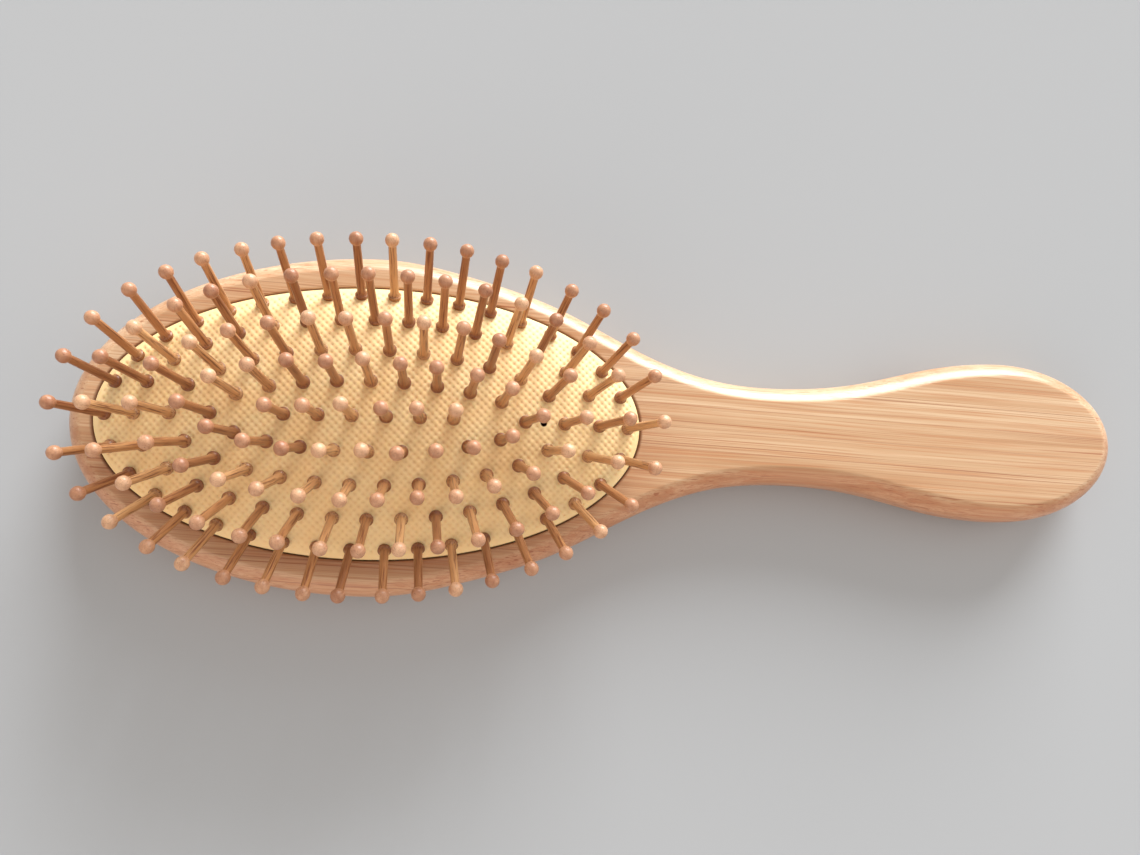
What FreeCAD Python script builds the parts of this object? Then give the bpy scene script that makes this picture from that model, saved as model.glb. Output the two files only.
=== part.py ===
import FreeCAD, Part
import math
import os

# Oval paddle brush: a laminated bamboo body, a domed rubber air cushion snapped into a pocket in it,
# and turned bamboo pins that stand square to the dome.
#
# Frame: origin under the middle of the cushion, on the flat back of the body.
# +X runs along the handle, +Z points the way the pins point. All lengths are millimetres.

V = FreeCAD.Vector
UP = V(0, 0, 1)

# Body outline
body_length = 240.0
head_reach = 65.5            # from the origin to the round end of the head
head_half_width = 38.1
flank = [                    # (x, half width) where the head narrows into the handle
    (20.0, 34.9), (40.0, 28.5), (60.0, 18.6), (78.0, 12.5), (95.0, 11.3), (112.0, 13.0), (130.0, 17.2)]
grip_x = 147.0               # widest place of the handle, where its round end starts
grip_half_width = 19.0

# Body section
body_thickness = 14.0
top_round = 6.0              # radius of the rounded upper edge
top_crest = 0.4              # height shaved off that rounding, which leaves a crisp border on the face
back_round = 5.0             # radius of the rounded lower edge

# Lamination: the body is sawn from a board of bamboo strips glued side by side
strip_width = 5.0
strip_angle = -2.8           # degrees, strips run slightly across the length of the body
first_glue_line = -0.7       # distance of one glue line from the origin
strip_numbers = range(-8, 8)

# Cushion dome: height = rise * (1 - s^2) * (1 + shoulder * s^2), s is 0 at the centre and 1 at the rim
cushion_half_length = 58.9
cushion_half_width = 29.9
dome_rise = 9.9
dome_shoulder = 0.42
rubber_thickness = 2.2
rim_wall = 1.3
inner_dome_base = 12.1       # height where the inner face of the dome meets the upright inside of the rim
cushion_gap = 0.2            # all round the cushion, between rubber and wood
bead_reach = 1.5             # how far the bead of the cushion stands out under the lip
bead_top = 12.4
bead_bottom = 10.6
vent_radius = 0.75
vent_x = 36.8
pocket_floor = 6.0

# Pins
pin_rings = {                # name: (number of pins, half length and half width of the oval they stand on)
    "outer_ring": (38, 55.8, 27.5),
    "second_ring": (32, 49.1, 21.2),
    "third_ring": (26, 41.3, 14.3),
    "inner_ring": (20, 32.7, 7.4)}
row_count = 6
row_pitch = 7.0
ball_radius = 1.52
ball_centre = 15.35          # above the rubber, along the pin
shaft_radius = 0.96          # just above the foot
neck_radius = 0.88           # where the shaft ends and the cone of the neck starts
neck_length = 2.1
foot_radius = 1.5            # bell-shaped foot that sits on the rubber
foot_edge = 0.8              # height of the upright edge of the foot
foot_height = 2.1            # where the bell has narrowed to the shaft
foot_clearance = 0.06
shank_radius = 0.95          # part of the pin inside the rubber
hole_clearance = 0.05
anchor_depth = 2.65          # top of the inner head, under the outer face of the rubber
anchor_radius = 1.7
anchor_thickness = 1.2


def ellipse_arc(centre_x, half_length, half_width, start, stop):
    """Edge of an ellipse with its long radius along X, between two angles in degrees."""
    centre = V(centre_x, 0, 0)
    ellipse = Part.Ellipse(centre + V(half_length, 0, 0), centre + V(0, half_width, 0), centre)
    return Part.ArcOfEllipse(ellipse, math.radians(start), math.radians(stop)).toShape()


def oval(half_length, half_width, bottom, top):
    """Solid elliptical disc between two heights."""
    wire = Part.Wire([ellipse_arc(0, half_length, half_width, 0, 360)])
    disc = Part.Face(wire).extrude(V(0, 0, top - bottom))
    disc.translate(V(0, 0, bottom))
    return disc


def flank_edge(side):
    """Smooth edge from the widest place of the head to the widest place of the handle."""
    points = [V(0, side * head_half_width, 0)]
    points += [V(x, side * half_width, 0) for x, half_width in flank]
    points.append(V(grip_x, side * grip_half_width, 0))
    curve = Part.BSplineCurve()
    curve.interpolate(Points=points, InitialTangent=V(1, 0, 0), FinalTangent=V(1, 0, 0))
    return curve.toShape()


def body_outline():
    grip_reach = body_length - head_reach - grip_x
    head = ellipse_arc(0, head_reach, head_half_width, 90, 270)
    grip = ellipse_arc(grip_x, grip_reach, grip_half_width, -90, 90)
    return Part.Wire(Part.__sortEdges__([head, flank_edge(-1), grip, flank_edge(1)]))


def edges_at_height(shape, height):
    return [edge for edge in shape.Edges
            if abs(edge.BoundBox.ZMin - height) < 1e-6 and abs(edge.BoundBox.ZMax - height) < 1e-6]


def body_blank():
    """Whole body before it is hollowed: rounded above with a crisp border, and rounded below."""
    full_height = body_thickness + top_crest
    blank = Part.Face(body_outline()).extrude(V(0, 0, full_height))
    blank = blank.makeFillet(top_round, edges_at_height(blank, full_height))
    blank = blank.makeFillet(back_round, edges_at_height(blank, 0))
    return blank.common(Part.makeBox(400, 200, body_thickness, V(-200, -100, 0)))


def pocket():
    """Hollow for the cushion: a lip at the face, a groove for the bead, and an air space below."""
    lip = oval(cushion_half_length + cushion_gap, cushion_half_width + cushion_gap,
               pocket_floor, body_thickness + 1)
    groove_reach = bead_reach + cushion_gap
    groove = oval(cushion_half_length + groove_reach, cushion_half_width + groove_reach,
                  bead_bottom - cushion_gap, bead_top + cushion_gap)
    return lip.fuse(groove)


def bamboo_strip_pieces(body, number):
    """What is left of one strip of the board, between two neighbouring glue lines, from the head end.

    Sawing the waist out of the board leaves some of the strips in a piece at the head and one at the grip.
    """
    slab = Part.makeBox(400, strip_width, body_thickness, V(-200, first_glue_line + number * strip_width, 0))
    slab.rotate(V(0, 0, 0), UP, strip_angle)
    return sorted(body.common(slab).Solids, key=lambda piece: piece.CenterOfMass.x)


def dome_solid(half_length, half_width, base, rise, bottom):
    """Solid under an elliptical dome, down to a flat bottom."""
    k = dome_shoulder
    # z / rise = 1 + (k - 1) s^2 - k s^4, as the control points of a curve of degree 4
    levels = [1, 1, 1 + (k - 1) / 6, 1 + (k - 1) / 2, 0]
    profile = Part.BezierCurve()
    profile.setPoles([V(half_width * i / 4, 0, base + rise * level) for i, level in enumerate(levels)])
    crown = V(0, 0, base + rise)
    rim = V(half_width, 0, base)
    foot = V(half_width, 0, bottom)
    axis_foot = V(0, 0, bottom)
    edges = [profile.toShape(), Part.makeLine(rim, foot), Part.makeLine(foot, axis_foot),
             Part.makeLine(axis_foot, crown)]
    turned = Part.Face(Part.Wire(edges)).revolve(V(0, 0, 0), UP, 360)
    stretch = FreeCAD.Matrix()
    stretch.A11 = half_length / half_width
    return turned.transformGeometry(stretch)


def dome_height(x, y):
    s2 = (x / cushion_half_length) ** 2 + (y / cushion_half_width) ** 2
    return dome_rise * (1 - s2) * (1 + dome_shoulder * s2)


def dome_normal(x, y):
    """Direction square to the dome, which is the direction of the pin that stands there."""
    s2 = (x / cushion_half_length) ** 2 + (y / cushion_half_width) ** 2
    steepness = dome_rise * (1 - dome_shoulder + 2 * dome_shoulder * s2)
    return V(2 * x * steepness / cushion_half_length ** 2, 2 * y * steepness / cushion_half_width ** 2,
             1).normalize()


def ring_points(count, half_length, half_width):
    """Points at equal distances along an oval. The first is on the long axis, at the head end."""
    steps = 3600
    outline = [(-half_length * math.cos(2 * math.pi * i / steps), half_width * math.sin(2 * math.pi * i / steps))
               for i in range(steps + 1)]
    walked = [0.0]
    for start, stop in zip(outline, outline[1:]):
        walked.append(walked[-1] + math.dist(start, stop))
    points = []
    nearest = 0
    for number in range(count):
        target = walked[-1] * number / count
        while walked[nearest] < target:
            nearest += 1
        points.append(outline[nearest])
    return points


def mirrored_groups(count):
    """Numbers of the pins that mirror each other in a ring, so that they stand at the same height."""
    half = count // 2
    groups = []
    for number in range(half // 2 + 1):
        groups.append(sorted({number, half - number, half + number, (count - number) % count}))
    return groups


def pin_solid():
    """One turned pin, standing at the origin along +Z, with the face of the rubber at z = 0."""
    anchor_top = -anchor_depth
    anchor_bottom = anchor_top - anchor_thickness
    neck_top = ball_centre - ball_radius * 0.8
    neck_joint = ball_radius * 0.6
    points = {
        "tail": V(0, 0, anchor_bottom),
        "anchor_low": V(anchor_radius, 0, anchor_bottom),
        "anchor_high": V(anchor_radius, 0, anchor_top),
        "shank_low": V(shank_radius, 0, anchor_top),
        "shank_high": V(shank_radius, 0, foot_clearance),
        "foot_low": V(foot_radius - 0.15, 0, foot_clearance),
        "foot_rim": V(foot_radius, 0, foot_edge),
        "bell_top": V(shaft_radius, 0, foot_height),
        "shaft_high": V(neck_radius, 0, neck_top - neck_length),
        "ball_low": V(neck_joint, 0, neck_top),
        "ball_side": V(ball_radius, 0, ball_centre),
        "ball_top": V(0, 0, ball_centre + ball_radius)}
    bell_middle = V(shaft_radius + 0.12, 0, (foot_edge + foot_height) * 0.5)
    straight = ["tail", "anchor_low", "anchor_high", "shank_low", "shank_high", "foot_low", "foot_rim"]
    edges = [Part.makeLine(points[a], points[b]) for a, b in zip(straight, straight[1:])]
    edges.append(Part.Arc(points["foot_rim"], bell_middle, points["bell_top"]).toShape())
    edges.append(Part.makeLine(points["bell_top"], points["shaft_high"]))
    edges.append(Part.makeLine(points["shaft_high"], points["ball_low"]))
    edges.append(Part.Arc(points["ball_low"], points["ball_side"], points["ball_top"]).toShape())
    edges.append(Part.makeLine(points["ball_top"], points["tail"]))
    return Part.Face(Part.Wire(edges)).revolve(V(0, 0, 0), UP, 360)


def stood_on_dome(shape, x, y):
    """Copy of a shape modelled at the origin, moved onto the dome and turned square to it."""
    foot = V(x, y, body_thickness + dome_height(x, y))
    moved = shape.copy()
    moved.Placement = FreeCAD.Placement(foot, FreeCAD.Rotation(UP, dome_normal(x, y)))
    return moved


def cushion(pin_places):
    """Rubber dome with a bead round its rim, open below, with a hole for each pin and an air vent."""
    outer = dome_solid(cushion_half_length, cushion_half_width, body_thickness, dome_rise, bead_bottom)
    bead = oval(cushion_half_length + bead_reach, cushion_half_width + bead_reach, bead_bottom, bead_top)
    inner_rise = body_thickness + dome_rise - rubber_thickness - inner_dome_base
    inner = dome_solid(cushion_half_length - rim_wall, cushion_half_width - rim_wall,
                       inner_dome_base, inner_rise, bead_bottom - 1)
    rubber = outer.fuse(bead).cut(inner)
    drill = Part.makeCylinder(shank_radius + hole_clearance, 8, V(0, 0, -6))
    holes = [stood_on_dome(drill, x, y) for x, y in pin_places]
    holes.append(Part.makeCylinder(vent_radius, 2 * body_thickness, V(vent_x, 0, body_thickness)))
    return rubber.cut(Part.makeCompound(holes))


def export(name, shape):
    shape.exportStep(f"parts/{name}.step")


def main():
    os.makedirs("parts", exist_ok=True)
    body = body_blank().cut(pocket())
    for place, number in enumerate(strip_numbers, 1):
        pieces = bamboo_strip_pieces(body, number)
        ends = [""] if len(pieces) == 1 else ["_head", "_grip"]
        for end, piece in zip(ends, pieces):
            export(f"bamboo_strip_{place:02d}{end}", piece)

    pin = pin_solid()
    pin_places = []
    for ring, (count, half_length, half_width) in pin_rings.items():
        points = ring_points(count, half_length, half_width)
        pin_places += points
        for place, numbers in enumerate(mirrored_groups(count), 1):
            pins = [stood_on_dome(pin, *points[number]) for number in numbers]
            export(f"{ring}_pins_{place:02d}", Part.makeCompound(pins))

    for place in range(row_count // 2):
        x = row_pitch * (place + 0.5)
        pin_places += [(-x, 0), (x, 0)]
        export(f"centre_row_pins_{place + 1:02d}",
               Part.makeCompound([stood_on_dome(pin, -x, 0), stood_on_dome(pin, x, 0)]))

    export("rubber_cushion", cushion(pin_places))


main()
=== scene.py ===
import math
import random

import bmesh
import bpy
import numpy as np
from mathutils import Matrix, Vector


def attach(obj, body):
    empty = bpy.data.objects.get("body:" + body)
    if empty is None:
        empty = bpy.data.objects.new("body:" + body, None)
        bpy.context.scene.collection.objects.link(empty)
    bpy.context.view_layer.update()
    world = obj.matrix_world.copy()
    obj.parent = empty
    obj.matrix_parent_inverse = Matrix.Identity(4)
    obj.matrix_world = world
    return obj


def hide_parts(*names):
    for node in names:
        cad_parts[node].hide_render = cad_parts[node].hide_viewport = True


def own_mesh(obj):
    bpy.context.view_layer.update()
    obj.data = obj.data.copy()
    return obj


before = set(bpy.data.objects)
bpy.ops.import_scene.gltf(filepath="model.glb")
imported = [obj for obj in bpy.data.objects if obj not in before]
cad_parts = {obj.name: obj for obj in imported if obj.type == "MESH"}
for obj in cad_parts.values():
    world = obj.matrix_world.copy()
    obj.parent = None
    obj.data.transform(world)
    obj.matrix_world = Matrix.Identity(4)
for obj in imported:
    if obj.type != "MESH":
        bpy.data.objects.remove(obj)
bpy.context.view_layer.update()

# Oval paddle brush: a bamboo board sawn from glued strips, a domed rubber cushion in a pocket, and
# turned bamboo pins.
# Lengths are millimetres, as in the part; meshes are scaled to metres when they become objects.

MM = 0.001
SHARP_ANGLE = math.radians(32)

# Board
HEAD_REACH, HEAD_HALF_WIDTH = 65.5, 38.1
FLANK = [(20.0, 34.9), (40.0, 28.5), (60.0, 18.6), (78.0, 12.5),
         (95.0, 11.3), (112.0, 13.0), (130.0, 17.2)]
GRIP_X, GRIP_REACH, GRIP_HALF_WIDTH = 147.0, 27.5, 19.0
THICKNESS, TOP_ROUND, TOP_CREST, BACK_ROUND = 14.0, 6.0, 0.4, 5.0
STRIP_WIDTH, STRIP_ANGLE, FIRST_GLUE_LINE = 5.0, math.radians(-2.8), -0.7
STRIP_NUMBERS = range(-8, 8)
WAISTED_STRIPS = (6, 13, 14)    # strips that the waist parts into a head piece and a grip piece
WAIST_X = 90.0
OUTLINE_SPACING = 0.9

# Cushion
HALF_LENGTH, HALF_WIDTH, RISE, SHOULDER = 58.9, 29.9, 9.9, 0.42
RIM_WALL, INNER_BASE, RUBBER = 1.3, 12.1, 2.2
INNER_RISE = THICKNESS + RISE - RUBBER - INNER_BASE
INNER_LENGTH, INNER_WIDTH = HALF_LENGTH - RIM_WALL, HALF_WIDTH - RIM_WALL
INNER_GRID = (0.42, 0.42)
GAP, BEAD_REACH, BEAD_TOP, BEAD_BOTTOM, POCKET_FLOOR = 0.2, 1.5, 12.4, 10.6, 6.0
VENT_X, VENT_RADIUS = 36.8, 0.75
DIMPLE_STEP, DIMPLE_ROW, DIMPLE_DEPTH = 1.72, 0.85, 0.32
PLAIN_RIM, RIM_FADE = 1.0, 0.35     # border without dimples, and the width over which they begin
PLAIN_PIN, PLAIN_VENT, HOLE_FADE = 1.35, 1.2, 0.3      # the same round a pin and the vent
END_STRETCH = 0.97                  # added share of a distance from the rim at the ends of the oval
POCKET_POINTS, RIM_POINTS, BEAD_POINTS, VENT_POINTS, HOLE_POINTS = 320, 480, 240, 20, 14

# Pins
RINGS = {"outer_ring": (38, 55.8, 27.5), "second_ring": (32, 49.1, 21.2),
         "third_ring": (26, 41.3, 14.3), "inner_ring": (20, 32.7, 7.4)}
ROW_COUNT, ROW_PITCH = 6, 7.0
BALL_RADIUS, BALL_CENTRE = 1.52, 15.35
PIN_HOLE = 1.0
PIN_SEGMENTS = 24
NECK_CUT = 0.8          # where the neck meets the ball, as a share of its radius
LEAN_SPREAD = 0.016     # radians
UNEVENNESS = 0.006      # of the radius

# Light and camera, in metres and radians: name, direction, width, strength, colour
SUNS = [("window", (0.36, 1.0, 0.23), 0.7, 6.6, (1.0, 1.0, 1.0)),
        ("side", (1.0, 0.15, 0.6), 0.8, 0.5, (1.0, 0.97, 0.93)),
        ("warm_fill", (-0.6, -1.0, 0.6), 1.0, 0.95, (1.0, 0.72, 0.54))]
ROOM_COLOUR, ROOM_STRENGTH = (1.0, 0.965, 0.92, 1), 0.6
FLOOR_HALF, FLOOR_HEIGHT = 30.0, -0.0003
EYE = (0.0217, -0.0253, 0.2228)
EYE_FORWARD, EYE_UP = (0.1017, 0.1200, -0.98755), (-0.0287, 0.99264, 0.11767)
SENSOR_WIDTH, FOCAL_LENGTH = 36.0, 29.81


# ---------------------------------------------------------------- shapes shared by the pieces

def dome(x, y, half_length=HALF_LENGTH, half_width=HALF_WIDTH, rise=RISE):
    s2 = (x / half_length) ** 2 + (y / half_width) ** 2
    return rise * (1 - s2) * (1 + SHOULDER * s2)


def dome_normal(x, y):
    s2 = (x / HALF_LENGTH) ** 2 + (y / HALF_WIDTH) ** 2
    steepness = RISE * (1 - SHOULDER + 2 * SHOULDER * s2)
    slope_x, slope_y = 2 * x * steepness / HALF_LENGTH ** 2, 2 * y * steepness / HALF_WIDTH ** 2
    return Vector((slope_x, slope_y, 1)).normalized()


def inner_face(x, y):
    """Height of the inner face of the rubber."""
    return INNER_BASE + dome(x, y, INNER_LENGTH, INNER_WIDTH, INNER_RISE)


def walked_length(line):
    return np.concatenate([[0], np.cumsum(np.linalg.norm(np.diff(line, axis=0), axis=1))])


def ring_points(count, half_length, half_width):
    """Points at equal distances along an oval, the first at the head end."""
    turn = np.linspace(0, 2 * math.pi, 3601)
    outline = np.column_stack([-half_length * np.cos(turn), half_width * np.sin(turn)])
    walked = walked_length(outline)
    places = np.searchsorted(walked, walked[-1] * np.arange(count) / count)
    return [tuple(outline[i]) for i in places]


def mirrored_groups(count):
    """Numbers of the points on a ring that mirror each other, as one CAD node holds them."""
    half = count // 2
    return [sorted({n, half - n, half + n, (count - n) % count}) for n in range(half // 2 + 1)]


def pin_places():
    """Where the pins of each CAD node stand."""
    places = {}
    for ring, (count, half_length, half_width) in RINGS.items():
        points = ring_points(count, half_length, half_width)
        for place, numbers in enumerate(mirrored_groups(count), 1):
            places[f"{ring}_pins_{place:02d}"] = [points[n] for n in numbers]
    for place in range(ROW_COUNT // 2):
        x = ROW_PITCH * (place + 0.5)
        places[f"centre_row_pins_{place + 1:02d}"] = [(-x, 0.0), (x, 0.0)]
    return places


def ellipse_loop(half_length, half_width, count):
    turn = np.arange(count) * 2 * math.pi / count
    return np.column_stack([half_length * np.cos(turn), half_width * np.sin(turn)])


def as_object(bm, name, body, material, nodes):
    """Turns a mesh in millimetres into a finished piece."""
    bmesh.ops.scale(bm, vec=(MM, MM, MM), verts=bm.verts)
    mesh = bpy.data.meshes.new(name)
    bm.to_mesh(mesh)
    bm.free()
    mesh.materials.append(material)
    mesh.shade_smooth()
    mesh.set_sharp_from_angle(angle=SHARP_ANGLE)
    piece = bpy.data.objects.new(name, mesh)
    bpy.context.scene.collection.objects.link(piece)
    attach(piece, body)
    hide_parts(*nodes)
    return piece


def add_loop(bm, points, height):
    heights = np.broadcast_to(height, len(points))
    return [bm.verts.new((float(x), float(y), float(z))) for (x, y), z in zip(points, heights)]


def neighbours(loop):
    return zip(loop, loop[1:] + loop[:1])


def bridge(bm, lower, upper):
    """Quads between two closed loops."""
    for (a, b), (d, c) in zip(neighbours(lower), neighbours(upper)):
        bm.faces.new((a, b, c, d))


def fill_between(bm, *loops):
    """Flat fill of the area between closed loops."""
    edges = []
    for loop in loops:
        for a, b in neighbours(loop):
            edges.append(bm.edges.get((a, b)) or bm.edges.new((a, b)))
    bmesh.ops.triangle_fill(bm, use_beauty=True, use_dissolve=False, edges=edges)


# ---------------------------------------------------------------- board

def flank_curve():
    """Dense points of the smooth flank, from the widest place of the head to that of the grip."""
    knots = np.array([(0.0, HEAD_HALF_WIDTH), *FLANK, (GRIP_X, GRIP_HALF_WIDTH)])
    step = np.linalg.norm(np.diff(knots, axis=0), axis=1)
    count = len(knots)
    system, right = np.eye(count), np.zeros((count, 2))
    right[0] = right[-1] = (1, 0)
    for i in range(1, count - 1):
        before, after = step[i - 1], step[i]
        system[i, i - 1:i + 2] = after, 2 * (before + after), before
        right[i] = 3 * (after * (knots[i] - knots[i - 1]) / before
                        + before * (knots[i + 1] - knots[i]) / after)
    slope = np.linalg.solve(system, right)
    t = np.linspace(0, 1, 200, endpoint=False)[:, None]
    parts = []
    for i in range(count - 1):
        parts.append((2 * t ** 3 - 3 * t ** 2 + 1) * knots[i]
                     + (t ** 3 - 2 * t ** 2 + t) * step[i] * slope[i]
                     + (3 * t ** 2 - 2 * t ** 3) * knots[i + 1]
                     + (t ** 3 - t ** 2) * step[i] * slope[i + 1])
    return np.vstack([*parts, knots[-1:]])


def board_outline(spacing):
    """Evenly spaced outline points, anticlockwise, and the outward direction at each."""
    flank = flank_curve()
    head = np.radians(np.linspace(90, 270, 2000))
    grip = np.radians(np.linspace(-90, 90, 1200))
    dense = np.vstack([
        np.column_stack([GRIP_X + GRIP_REACH * np.cos(grip), GRIP_HALF_WIDTH * np.sin(grip)])[:-1],
        flank[::-1][:-1],
        np.column_stack([HEAD_REACH * np.cos(head), HEAD_HALF_WIDTH * np.sin(head)])[:-1],
        (flank * (1, -1))[:-1]])
    closed = np.vstack([dense, dense[:1]])
    walked = walked_length(closed)
    count = int(walked[-1] / spacing)
    at = np.arange(count) * walked[-1] / count

    def sample(distance):
        distance = distance % walked[-1]
        return np.column_stack([np.interp(distance, walked, closed[:, k]) for k in (0, 1)])

    beside = 0.3
    tangent = sample(at + beside) - sample(at - beside)
    outward = np.column_stack([tangent[:, 1], -tangent[:, 0]])
    return sample(at), outward / np.linalg.norm(outward, axis=1)[:, None]


def board_mesh():
    """The whole board in one closed mesh, before it is parted along its glue lines."""
    bm = bmesh.new()
    points, outward = board_outline(OUTLINE_SPACING)
    section = [(BACK_ROUND + 0.3, 0.0)]
    section += [(BACK_ROUND * (1 - math.sin(a)), BACK_ROUND * (1 - math.cos(a)))
                for a in np.radians(np.linspace(0, 90, 12))]
    shoulder = THICKNESS + TOP_CREST - TOP_ROUND
    section += [(0.0, (BACK_ROUND + shoulder) / 2)]
    crest_angle = math.degrees(math.asin((THICKNESS - shoulder) / TOP_ROUND))
    section += [(TOP_ROUND * (1 - math.cos(a)), shoulder + TOP_ROUND * math.sin(a))
                for a in np.radians(np.linspace(0, crest_angle - 1.6, 13))]
    crest = TOP_ROUND * (1 - math.cos(math.radians(crest_angle)))
    section += [(crest + 0.06, THICKNESS - 0.012), (crest + 0.34, THICKNESS)]
    rings = [add_loop(bm, points - outward * inset, height) for inset, height in section]
    for lower, upper in zip(rings, rings[1:]):
        bridge(bm, lower, upper)

    worn_mouth = [(0.75, 0.0), (0.42, 0.02), (0.24, 0.1), (0.1, 0.22), (0.03, 0.4), (0.0, 0.6)]
    pocket = [(reach, THICKNESS - depth) for reach, depth in worn_mouth]
    pocket += [(0.0, BEAD_TOP + GAP), (BEAD_REACH, BEAD_TOP + GAP),
               (BEAD_REACH, BEAD_BOTTOM - GAP), (0.0, BEAD_BOTTOM - GAP), (0.0, POCKET_FLOOR)]
    wall = []
    for reach, height in pocket:
        oval = ellipse_loop(HALF_LENGTH + GAP + reach, HALF_WIDTH + GAP + reach, POCKET_POINTS)
        wall.append(add_loop(bm, oval, height))
    for upper, lower in zip(wall, wall[1:]):
        bridge(bm, upper, lower)
    fill_between(bm, rings[-1], wall[0])
    fill_between(bm, wall[-1])
    fill_between(bm, rings[0])
    bmesh.ops.recalc_face_normals(bm, faces=bm.faces)
    return bm


def cut_and_cap(bm, point, direction):
    """Takes away what lies on the far side of a plane, and closes the cut."""
    geometry = bm.verts[:] + bm.edges[:] + bm.faces[:]
    bmesh.ops.bisect_plane(bm, geom=geometry, dist=1e-5, plane_co=point, plane_no=direction,
                           clear_outer=True)
    rim = [e for e in bm.edges if e.is_boundary]
    if rim:
        bmesh.ops.triangle_fill(bm, use_beauty=True, use_dissolve=False, edges=rim,
                                normal=direction)


def islands(bm):
    """Groups of vertices that hang together."""
    bm.verts.ensure_lookup_table()
    left = set(bm.verts)
    found = []
    while left:
        stack = [left.pop()]
        group = set(stack)
        while stack:
            vert = stack.pop()
            for edge in vert.link_edges:
                other = edge.other_vert(vert)
                if other in left:
                    left.discard(other)
                    group.add(other)
                    stack.append(other)
        found.append(group)
    return found


def build_board(material):
    whole = board_mesh()
    across = Vector((-math.sin(STRIP_ANGLE), math.cos(STRIP_ANGLE), 0))
    for place, number in enumerate(STRIP_NUMBERS, 1):
        low = FIRST_GLUE_LINE + number * STRIP_WIDTH
        strip = whole.copy()
        cut_and_cap(strip, across * (low + STRIP_WIDTH), across)
        cut_and_cap(strip, across * low, -across)
        bmesh.ops.recalc_face_normals(strip, faces=strip.faces)
        ends = ["_head", "_grip"] if place in WAISTED_STRIPS else [""]
        for end in ends:
            part = strip.copy()
            if end:
                drop = [v for group in islands(part) for v in group
                        if (sum(u.co.x for u in group) / len(group) < WAIST_X) != (end == "_head")]
                bmesh.ops.delete(part, geom=drop, context="VERTS")
            node = f"bamboo_strip_{place:02d}{end}"
            name = f"board_strip_{place:02d}{end}"
            as_object(part, name, "brush_body", material, [node])
        strip.free()
    whole.free()


# ---------------------------------------------------------------- cushion

def drop_pinched(bm):
    """Takes away loose vertices and those where a border touches itself."""
    while True:
        pinched = [v for v in bm.verts
                   if not v.link_faces or sum(e.is_boundary for e in v.link_edges) > 2]
        if not pinched:
            return
        bmesh.ops.delete(bm, geom=pinched, context="VERTS")


def border_groups(bm):
    """Open edges, grouped where they touch."""
    left = {edge for edge in bm.edges if edge.is_boundary}
    found = []
    while left:
        stack = [left.pop()]
        group = list(stack)
        while stack:
            for vert in stack.pop().verts:
                for other in vert.link_edges:
                    if other in left:
                        left.discard(other)
                        group.append(other)
                        stack.append(other)
        found.append(group)
    return found


def grid_sheet(bm, step, half_length, half_width, holes, hole_radius):
    """Flat fine grid inside an oval rim, with round holes; returns the rim and hole loops."""
    rows = int(half_width / step[1]) + 2
    columns = int(half_length / step[0]) + 2
    j, i = np.meshgrid(np.arange(-rows, rows + 1), np.arange(-columns, columns + 1), indexing="ij")
    x, y = i * step[0], j * step[1]
    margin = 0.6 * max(step)
    keep = (x / (half_length - margin)) ** 2 + (y / (half_width - margin)) ** 2 < 1
    for loop in holes:
        middle = loop.mean(axis=0)
        keep &= (x - middle[0]) ** 2 + (y - middle[1]) ** 2 > (hole_radius + margin) ** 2
    verts = np.full(x.shape, None, dtype=object)
    for r, c in zip(*np.nonzero(keep)):
        verts[r, c] = bm.verts.new((x[r, c], y[r, c], 0.0))
    for r in range(verts.shape[0] - 1):
        for c in range(verts.shape[1] - 1):
            p, q, u, w = verts[r, c], verts[r, c + 1], verts[r + 1, c], verts[r + 1, c + 1]
            halves = ((p, q, w), (p, w, u)) if (r + c) % 2 else ((p, q, u), (q, w, u))
            for triangle in halves:
                if None not in triangle:
                    bm.faces.new(triangle)
    drop_pinched(bm)
    edge_sets = [[] for _ in range(len(holes) + 1)]
    middles = np.array([loop.mean(axis=0) for loop in holes])
    for group in border_groups(bm):
        at = np.array([edge.verts[0].co.xy for edge in group])
        distance = np.hypot(*(middles - at.mean(axis=0)).T)
        is_hole = np.ptp(at, axis=0).max() < 4 * hole_radius
        edge_sets[int(distance.argmin()) + 1 if is_hole else 0] += group
    loops = []
    rim = ellipse_loop(half_length, half_width, RIM_POINTS)
    for points, edges in zip([rim, *holes], edge_sets):
        loop = add_loop(bm, points, 0.0)
        loops.append(loop)
        edges = edges + [bm.edges.new(pair) for pair in neighbours(loop)]
        bmesh.ops.triangle_fill(bm, use_beauty=True, use_dissolve=False, edges=edges,
                                normal=(0, 0, 1))
    return loops


def hole_outline(x, y, depth):
    """Hole of a pin, seen from above, at a depth along the pin's axis."""
    normal = dome_normal(x, y)
    middle = np.array([x, y]) - depth * np.array([normal.x, normal.y])
    tilt = math.hypot(normal.x, normal.y)
    lean = np.array([normal.x, normal.y]) / tilt if tilt > 1e-6 else np.array([1.0, 0.0])
    side = np.array([-lean[1], lean[0]])
    circle = ellipse_loop(1.0, 1.0, HOLE_POINTS)
    return middle + PIN_HOLE * (circle[:, :1] * lean * normal.z + circle[:, 1:] * side)


def inner_depth(x, y):
    """Distance from the outer to the inner face of the rubber, along the pin at a place."""
    normal = dome_normal(x, y)
    start = Vector((x, y, THICKNESS + dome(x, y)))
    depth = RUBBER
    for _ in range(30):
        point = start - normal * depth
        depth += (point.z - inner_face(point.x, point.y)) * 0.7
    return depth


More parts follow.
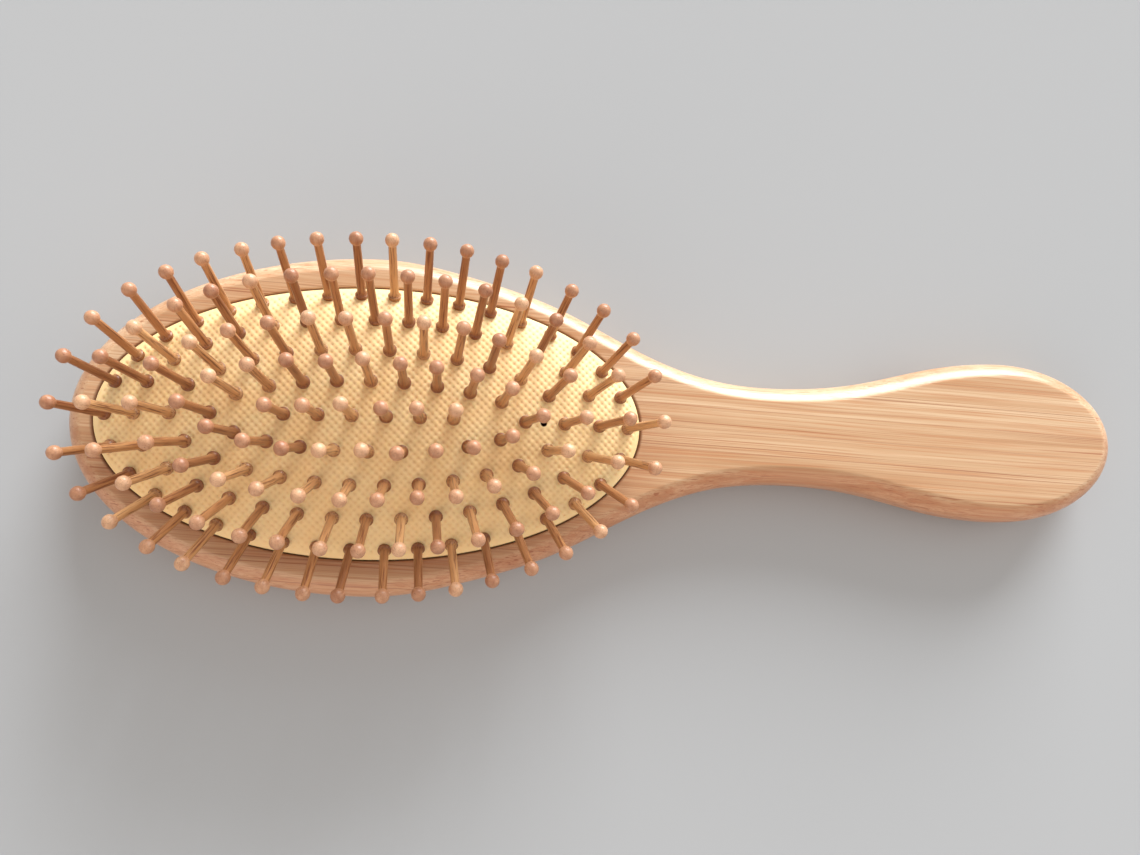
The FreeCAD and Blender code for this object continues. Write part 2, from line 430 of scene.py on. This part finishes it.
def dimple_field(x, y, places):
    """How deep the moulded texture is at a place, from 0 to 1."""
    wave = np.cos(2 * math.pi * x / DIMPLE_STEP) * np.cos(math.pi * y / DIMPLE_ROW)
    depth = ((1 + wave) / 2) ** 2.2
    s = np.sqrt((x / HALF_LENGTH) ** 2 + (y / HALF_WIDTH) ** 2)
    from_rim = (1 - s) * HALF_WIDTH * (1 + END_STRETCH * (x / HALF_LENGTH) ** 2)
    border = np.clip((from_rim - PLAIN_RIM) / RIM_FADE, 0, 1)
    clear = np.ones(x.shape)
    for px, py, plain in [(*place, PLAIN_PIN) for place in places] + [(VENT_X, 0.0, PLAIN_VENT)]:
        clear = np.minimum(clear, np.clip((np.hypot(x - px, y - py) - plain) / HOLE_FADE, 0, 1))
    return depth * border * clear


def build_cushion(material):
    places = [p for group in pin_places().values() for p in group]
    vent = ellipse_loop(VENT_RADIUS, VENT_RADIUS, VENT_POINTS) + (VENT_X, 0)
    outer_holes = [hole_outline(x, y, 0) for x, y in places] + [vent]
    inner_holes = [hole_outline(x, y, inner_depth(x, y)) for x, y in places] + [vent]

    bm = bmesh.new()
    outer_grid = (DIMPLE_STEP / 6, DIMPLE_ROW / 3)
    outer = grid_sheet(bm, outer_grid, HALF_LENGTH, HALF_WIDTH, outer_holes, PIN_HOLE)
    xy = np.array([v.co.xy for v in bm.verts])
    texture = dimple_field(xy[:, 0], xy[:, 1], places)
    height = THICKNESS + dome(xy[:, 0], xy[:, 1]) - DIMPLE_DEPTH * texture
    for vert, z in zip(bm.verts, height):
        vert.co.z = z

    under = bmesh.new()
    inner = grid_sheet(under, INNER_GRID, INNER_LENGTH, INNER_WIDTH, inner_holes, PIN_HOLE)
    for vert in under.verts:
        vert.co.z = inner_face(vert.co.x, vert.co.y)
    twin = {vert: bm.verts.new(vert.co) for vert in under.verts}
    for face in under.faces:
        bm.faces.new([twin[v] for v in reversed(face.verts)])
    inner = [[twin[v] for v in loop] for loop in inner]
    under.free()

    skirt_height = THICKNESS - 0.8
    skirt = add_loop(bm, ellipse_loop(HALF_LENGTH, HALF_WIDTH, RIM_POINTS), skirt_height)
    bridge(bm, outer[0], skirt)
    bridge(bm, skirt, inner[0])
    for top, bottom in zip(outer[1:], inner[1:]):
        bridge(bm, top, bottom)
    bmesh.ops.recalc_face_normals(bm, faces=bm.faces)

    layer = bm.verts.layers.float.new("dimple")
    for vert, value in zip(bm.verts, texture):      # the outer face was made first
        vert[layer] = float(value)
    piece = as_object(bm, "cushion_dome", "brush_body", material, ["rubber_cushion"])
    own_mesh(piece)


def build_rim(material):
    """The skirt and bead that hold the rubber under the lip of the pocket."""
    bm = bmesh.new()
    profile = [(-0.02, THICKNESS - 0.85), (-0.02, BEAD_TOP + 0.25), (0.1, BEAD_TOP + 0.04),
               (0.3, BEAD_TOP), (BEAD_REACH - 0.25, BEAD_TOP), (BEAD_REACH, BEAD_TOP - 0.3),
               (BEAD_REACH, BEAD_BOTTOM + 0.3), (BEAD_REACH - 0.25, BEAD_BOTTOM),
               (-RIM_WALL, BEAD_BOTTOM), (-RIM_WALL, INNER_BASE - 0.05)]
    loops = [add_loop(bm, ellipse_loop(HALF_LENGTH + reach, HALF_WIDTH + reach, BEAD_POINTS), z)
             for reach, z in profile]
    for upper, lower in neighbours(loops):
        bridge(bm, upper, lower)
    bmesh.ops.recalc_face_normals(bm, faces=bm.faces)
    as_object(bm, "cushion_rim", "brush_body", material, ["rubber_cushion"])


# ---------------------------------------------------------------- pins

def pin_profile():
    """(radius, height) from the inner head to the crown of the ball."""
    inner_head = [(0.0, -3.85), (1.55, -3.85), (1.7, -3.7), (1.7, -2.8), (1.55, -2.65)]
    shank = [(0.95, -2.65), (0.95, -1.0), (0.95, 0.02)]
    foot = [(1.0, 0.06), (1.27, 0.06), (1.36, 0.1), (1.42, 0.3),
            (1.49, 0.7), (1.5, 0.8), (1.46, 0.88)]
    points = inner_head + shank + foot
    bell_steps, shaft_steps, ball_steps = 8, 12, 15
    for k in range(1, bell_steps):
        turn = k / bell_steps * math.pi / 2
        points.append((0.96 + 0.48 * (1 - math.sin(turn)) ** 1.15,
                       0.9 + 1.25 * (1 - math.cos(turn)) ** 0.8))
    neck_top = BALL_CENTRE - BALL_RADIUS * NECK_CUT
    shaft_radius, taper, shaft_bottom = 0.955, 0.075, 2.4
    shaft_length = neck_top - 2.8
    for k in range(shaft_steps):
        points.append((shaft_radius - taper * k / shaft_steps,
                       shaft_bottom + shaft_length * k / shaft_steps))
    points += [(0.88, neck_top - 0.4), (0.885, neck_top - 0.14), (0.905, neck_top)]
    start = math.asin(NECK_CUT)
    for k in range(1, ball_steps):
        turn = -start + (math.pi / 2 + start) * k / ball_steps
        points.append((BALL_RADIUS * math.cos(turn), BALL_CENTRE + BALL_RADIUS * math.sin(turn)))
    points.append((0.0, BALL_CENTRE + BALL_RADIUS))
    return points


def lathe(bm, profile, phases):
    """One pin along Z, a little uneven above its foot; returns its vertices ring by ring."""
    rings = []
    for radius, height in profile:
        if radius == 0:
            rings.append([bm.verts.new((0, 0, height))])
            continue
        ring = []
        for k in range(PIN_SEGMENTS):
            a = 2 * math.pi * k / PIN_SEGMENTS
            r = radius
            if height > 0.5:
                r *= (0.988 + UNEVENNESS * math.sin(2 * a + phases[0] + 0.2 * height)
                      + UNEVENNESS * math.sin(1.1 * height + phases[1]))
            ring.append(bm.verts.new((r * math.cos(a), r * math.sin(a), height)))
        rings.append(ring)
    for lower, upper in zip(rings, rings[1:]):
        if len(lower) == 1:
            for a, b in neighbours(upper):
                bm.faces.new((lower[0], b, a))
        elif len(upper) == 1:
            for a, b in neighbours(lower):
                bm.faces.new((a, b, upper[0]))
        else:
            bridge(bm, lower, upper)
    return rings


def build_pins(material):
    profile = pin_profile()
    for node, places in pin_places().items():
        bm = bmesh.new()
        local = bm.verts.layers.float_vector.new("pin_place")
        tone = bm.verts.layers.float.new("pin_tone")
        for number, (x, y) in enumerate(places):
            chance = random.Random(f"{node} {number}")
            turn = Matrix.Rotation(chance.uniform(0, 2 * math.pi), 4, "Z")
            lean = Vector((chance.gauss(0, LEAN_SPREAD), chance.gauss(0, LEAN_SPREAD), 0))
            if node.startswith("outer") and lean.dot((x, y, 0)) > 0:
                lean.negate()
            upright = Vector((0, 0, 1)).rotation_difference(dome_normal(x, y) + lean)
            foot = Matrix.Translation((x, y, THICKNESS + dome(x, y)))
            place = foot @ upright.to_matrix().to_4x4() @ turn
            offset = Vector((chance.uniform(0, 100), chance.uniform(0, 100), 0))
            shade = chance.random()
            phases = [chance.uniform(0, 2 * math.pi) for _ in range(2)]
            for ring in lathe(bm, profile, phases):
                for vert in ring:
                    vert[local] = vert.co + offset
                    vert[tone] = shade
                    vert.co = place @ vert.co
        name = node.replace("_pins_", "_bamboo_pins_")
        as_object(bm, name, node, material, [node])


# ---------------------------------------------------------------- materials

class Nodes:
    """Small helper that adds and links shader nodes."""

    def __init__(self, name):
        self.material = bpy.data.materials.new(name)
        self.material.use_nodes = True
        self.tree = self.material.node_tree
        self.shader = self.tree.nodes["Principled BSDF"]

    def add(self, kind, settings=None, **inputs):
        node = self.tree.nodes.new(kind)
        for key, value in (settings or {}).items():
            setattr(node, key, value)
        for key, value in inputs.items():
            self.set(node, key, value)
        return node

    def set(self, node, key, value):
        socket = node.inputs[int(key[1:])] if key[0] == "_" else node.inputs[key.replace("_", " ")]
        if isinstance(value, bpy.types.NodeSocket):
            self.tree.links.new(value, socket)
        else:
            socket.default_value = value

    def finish(self, **inputs):
        for key, value in inputs.items():
            self.set(self.shader, key, value)
        return self.material

    def math(self, operation, a, b=0.0, c=None, clamp=False):
        node = self.add("ShaderNodeMath", {"operation": operation, "use_clamp": clamp}, _0=a, _1=b)
        if c is not None:
            self.set(node, "_2", c)
        return node.outputs[0]

    def plus(self, a, b):
        return self.math("ADD", a, b)

    def minus(self, a, b):
        return self.math("SUBTRACT", a, b)

    def times(self, a, b, clamp=False):
        return self.math("MULTIPLY", a, b, clamp=clamp)

    def line(self, value, slope, start, clamp=False):
        """value * slope + start"""
        return self.math("MULTIPLY_ADD", value, slope, start, clamp)

    def coordinates(self, kind="Object"):
        return self.add("ShaderNodeTexCoord").outputs[kind]

    def attribute(self, name, output="Fac"):
        return self.add("ShaderNodeAttribute", {"attribute_name": name}).outputs[output]

    def split(self, vector):
        return self.add("ShaderNodeSeparateXYZ", None, Vector=vector).outputs

    def join(self, x, y, z):
        return self.add("ShaderNodeCombineXYZ", None, X=x, Y=y, Z=z).outputs[0]

    def noise(self, vector, scale=1.0, detail=2.0, rough=0.5):
        node = self.add("ShaderNodeTexNoise", None, Vector=vector, Scale=scale, Detail=detail,
                        Roughness=rough)
        return node.outputs["Fac"]

    def steps(self, value, stops):
        """Colour ramp from (position, colour) stops; a number stands for a grey."""
        node = self.add("ShaderNodeValToRGB", None, Fac=value)
        ramp = node.color_ramp
        while len(ramp.elements) < len(stops):
            ramp.elements.new(0.5)
        for element, (position, colour) in zip(ramp.elements, stops):
            element.position = position
            grey = isinstance(colour, (int, float))
            element.color = (colour, colour, colour, 1) if grey else (*colour, 1)
        return node.outputs["Color"]

    def mix(self, factor, a, b, blend="MIX"):
        node = self.add("ShaderNodeMix", {"data_type": "RGBA", "blend_type": blend})
        for key, value in (("_0", factor), ("_6", a), ("_7", b)):
            if isinstance(value, tuple) and len(value) == 3:
                value = (*value, 1)
            self.set(node, key, value)
        return node.outputs[2]

    def bump(self, height, distance, strength):
        node = self.add("ShaderNodeBump", None, Strength=strength, Distance=distance, Height=height)
        return node.outputs[0]


def srgb(*shown):
    """Linear colour from 0-255 display values."""
    shares = [v / 255 for v in shown]
    return tuple(v / 12.92 if v <= 0.04045 else ((v + 0.055) / 1.055) ** 2.4 for v in shares)


def board_bamboo():
    n = Nodes("board_bamboo")
    place = n.coordinates()
    turned = n.add("ShaderNodeMapping", None, Vector=place, Rotation=(0, 0, -STRIP_ANGLE),
                   Scale=(1 / MM, 1 / MM, 1 / MM)).outputs[0]
    along, across, up = n.split(turned)
    strip = n.math("DIVIDE", n.minus(across, FIRST_GLUE_LINE), STRIP_WIDTH)
    number = n.math("FLOOR", strip)
    inside = n.math("FRACT", strip)
    tone = n.add("ShaderNodeTexWhiteNoise", {"noise_dimensions": "1D"}, W=number).outputs["Value"]
    own = n.times(number, 17.3)
    wander = n.noise(n.join(n.times(along, 0.012), n.times(number, 3.7), 0.0), 1.0, 1.0)
    bent = n.line(wander, 1.6, across)

    def fibres(length, width, detail, rough, shift):
        """Streaks along the strips, of about that length and width."""
        lengthwise = n.line(along, 1 / length, n.plus(own, shift))
        here = n.join(lengthwise, n.math("DIVIDE", bent, width), n.math("DIVIDE", up, width))
        return n.noise(here, 1.0, detail, rough)

    broad = fibres(90, 1.7, 2.0, 0.5, 0.0)
    fine = fibres(34, 0.42, 3.0, 0.6, 5.0)
    thread = fibres(60, 0.17, 2.0, 0.55, 11.0)
    vein = fibres(160, 0.5, 1.0, 0.5, 29.0)
    blot = fibres(3.6, 0.4, 3.0, 0.6, 41.0)

    # Wood, with its fibres calmer where the strips end against the outline.
    base = n.steps(n.plus(n.times(broad, 0.8), n.times(tone, 0.2)), [
        (0.32, srgb(194, 151, 111)), (0.45, srgb(209, 173, 135)),
        (0.58, srgb(217, 184, 147)), (0.7, srgb(225, 195, 159))])
    facing = n.split(n.coordinates("Normal"))
    calm = n.minus(1.0, n.times(n.times(facing[0], facing[0]), 0.8))
    fine_share = n.times(n.steps(fine, [(0.34, 0.72), (0.47, 0.25), (0.56, 0.0)]), calm)
    thread_share = n.times(n.steps(thread, [(0.34, 0.6), (0.45, 0.0)]), calm)
    colour = n.mix(fine_share, base, srgb(196, 138, 94))
    colour = n.mix(thread_share, colour, srgb(178, 118, 78))
    colour = n.mix(n.steps(vein, [(0.29, 0.8), (0.36, 0.0)]), colour, srgb(166, 104, 66))
    edge = n.math("MINIMUM", inside, n.minus(1.0, inside))
    glue_line = n.times(n.steps(edge, [(0.0, 0.7), (0.012, 0.5), (0.03, 0.0)]), tone)
    colour = n.mix(glue_line, colour, srgb(150, 92, 58))

    # Painted shade: the mouth of the pocket is darkened as the shaded gap round the rubber, and the
    # wood beside it on the -Y side as the shade that the dome and pins cast away from the window
    # light.
    def squared_share(value, reach):
        return n.math("POWER", n.math("DIVIDE", value, reach * MM), 2.0)

    x, y, z = n.split(place)
    oval = n.plus(squared_share(x, HALF_LENGTH + GAP), squared_share(y, HALF_WIDTH + GAP))
    # Painted shade of the gap between the wood and the rubber.
    painted_gap_shade = n.steps(n.times(oval, 0.5), [(0.503, 0.85), (0.512, 0.0)])
    colour = n.mix(painted_gap_shade, colour, srgb(104, 58, 32))
    # Painted shade of the dome and pins on the wood beside the pocket, strongest on the -Y side,
    # away from the window light.
    painted_dome_shade = n.times(n.minus(1.45, oval), 2.6, clamp=True)
    painted_dome_shade = n.times(painted_dome_shade, n.line(y, -30.0, 0.1, clamp=True))
    colour = n.mix(painted_dome_shade, colour, n.mix(1.0, colour, (0.72, 0.58, 0.50), "MULTIPLY"))

    # Rosier, mottled sides, mainly on the -Y side: partly the wood's own rosier side grain, partly
    # painted reddish shade on the sides turned away from the window light; the top and back faces
    # stay as they are.
    face_height, sharpness = 0.01392, 1600.0
    flank = n.times(n.times(n.minus(face_height, z), sharpness, clamp=True),
                    n.times(z, sharpness, clamp=True))
    # Painted reddish shade: the tint grows on faces turned towards -Y, away from the window light.
    flank = n.times(flank, n.line(facing[1], -0.7, 0.6, clamp=True))
    blot_share = n.times(n.steps(blot, [(0.36, 0.14), (0.52, 0.0)]), calm)
    rosy_grain_and_shade = n.mix(1.0, colour, (0.96, 0.80, 0.75), "MULTIPLY")
    rosy_grain_and_shade = n.mix(blot_share, rosy_grain_and_shade, srgb(168, 98, 68))
    grain = n.plus(n.times(fine, 0.6), n.times(thread, 0.4))
    return n.finish(Base_Color=n.mix(flank, colour, rosy_grain_and_shade), Roughness=n.line(grain, 0.22, 0.3),
                    Normal=n.bump(grain, 0.00007, 0.5), Coat_Weight=0.3, Coat_Roughness=0.28)


def cushion_rubber():
    n = Nodes("cushion_rubber")
    place = n.coordinates()
    mottle = n.noise(place, 90.0, 3.0)
    speck = n.noise(place, 1500.0)
    base = n.steps(mottle, [(0.35, srgb(255, 218, 158)), (0.65, srgb(255, 226, 170))])
    # Painted shade in the dimples: the pits are darkened in colour, less so towards -Y, where the
    # window light does not graze them.
    painted_pit_shade = n.math("POWER", n.times(n.attribute("dimple"), 1.0, clamp=True), 1.3)
    shown = n.line(n.split(place)[1], 7.0, 0.36, clamp=True)    # fainter towards -Y
    return n.finish(Base_Color=n.mix(n.times(painted_pit_shade, shown), base, srgb(186, 116, 60)),
                    Roughness=n.line(speck, 0.15, 0.5), Normal=n.bump(speck, 0.00003, 0.35),
                    Subsurface_Weight=0.12, Subsurface_Radius=(0.0016, 0.0009, 0.0004),
                    Subsurface_Scale=1.0, Specular_IOR_Level=0.4)


def pin_bamboo():
    n = Nodes("pin_bamboo")
    tone = n.attribute("pin_tone")
    x, y, z = n.split(n.attribute("pin_place", "Vector"))

    def grain(across, along, detail, rough=0.5):
        """Noise with that many waves in a millimetre across and along the pin."""
        return n.noise(n.join(n.times(x, across), n.times(y, across), n.times(z, along)),
                       1.0, detail, rough)

    fibre = grain(3.2, 0.12, 3.0, 0.6)
    band = grain(0.8, 0.05, 1.0)
    pores = grain(4.5, 1.2, 2.0, 0.6)
    light = n.plus(n.times(band, 0.5), n.times(tone, 0.5))
    shaft = n.steps(light, [
        (0.2, srgb(152, 100, 64)), (0.5, srgb(188, 134, 88)), (0.8, srgb(220, 174, 122))])
    ball = n.steps(light, [
        (0.2, srgb(168, 116, 86)), (0.5, srgb(196, 146, 112)), (0.8, srgb(222, 178, 140))])
    in_ball = n.times(n.minus(z, 13.7), 1.4, clamp=True)
    colour = n.mix(in_ball, shaft, ball)
    lines = n.times(n.steps(fibre, [(0.36, 0.85), (0.5, 0.0)]), n.line(in_ball, -0.7, 1.0))
    colour = n.mix(lines, colour, srgb(112, 58, 34))
    specks = n.times(n.steps(pores, [(0.30, 0.55), (0.36, 0.0)]), in_ball)
    colour = n.mix(specks, colour, srgb(96, 52, 34))
    # Darker foot: partly a stain on the bamboo, partly painted contact shade where the pin stands
    # in the rubber.
    foot_stain_and_shade = n.times(n.minus(2.1, z), n.line(tone, -0.2, 0.45), clamp=True)
    return n.finish(Base_Color=n.mix(foot_stain_and_shade, colour, srgb(112, 58, 32)),
                    Roughness=n.line(fibre, 0.25, 0.24), Normal=n.bump(fibre, 0.00005, 0.5))


def floor_finish():
    n = Nodes("pale_floor")
    cloud = n.noise(n.coordinates(), 0.4)
    pale = n.steps(cloud, [(0.3, (0.44, 0.465, 0.49)), (0.7, (0.46, 0.485, 0.51))])
    return n.finish(Base_Color=pale, Roughness=0.9, Specular_IOR_Level=0.15)


# ---------------------------------------------------------------- surroundings

def soft_sun(name, towards, width, strength, colour):
    """Even light from one direction; the width, in radians, makes its shadows soft."""
    light = bpy.data.lights.new(name, "SUN")
    light.angle = width
    light.energy = strength
    light.color = colour
    lamp = bpy.data.objects.new(name, light)
    lamp.rotation_mode = "QUATERNION"
    lamp.rotation_quaternion = Vector(towards).to_track_quat("Z", "Y")
    bpy.context.scene.collection.objects.link(lamp)


def surroundings():
    scene = bpy.context.scene
    mesh = bpy.data.meshes.new("floor")
    corners = [(-FLOOR_HALF, -FLOOR_HALF, 0), (FLOOR_HALF, -FLOOR_HALF, 0),
               (FLOOR_HALF, FLOOR_HALF, 0), (-FLOOR_HALF, FLOOR_HALF, 0)]
    mesh.from_pydata(corners, [], [(0, 1, 2, 3)])
    mesh.materials.append(floor_finish())
    floor = bpy.data.objects.new("floor", mesh)
    floor.location.z = FLOOR_HEIGHT
    scene.collection.objects.link(floor)

    for sun in SUNS:
        soft_sun(*sun)

    world = bpy.data.worlds.new("soft_room")
    world.use_nodes = True
    background = world.node_tree.nodes["Background"]
    background.inputs["Color"].default_value = ROOM_COLOUR
    background.inputs["Strength"].default_value = ROOM_STRENGTH
    scene.world = world
    scene.view_settings.view_transform = "Standard"

    forward = Vector(EYE_FORWARD).normalized()
    right = forward.cross(Vector(EYE_UP)).normalized()
    up = right.cross(forward)
    camera = bpy.data.cameras.new("camera")
    camera.sensor_width = SENSOR_WIDTH
    camera.lens = FOCAL_LENGTH
    camera.clip_start = 0.01
    eye = bpy.data.objects.new("camera", camera)
    turned = Matrix((right, up, -forward)).transposed().to_4x4()
    eye.matrix_world = Matrix.Translation(EYE) @ turned
    scene.collection.objects.link(eye)
    scene.camera = eye


build_board(board_bamboo())
rubber = cushion_rubber()
build_cushion(rubber)
build_rim(rubber)
build_pins(pin_bamboo())
surroundings()
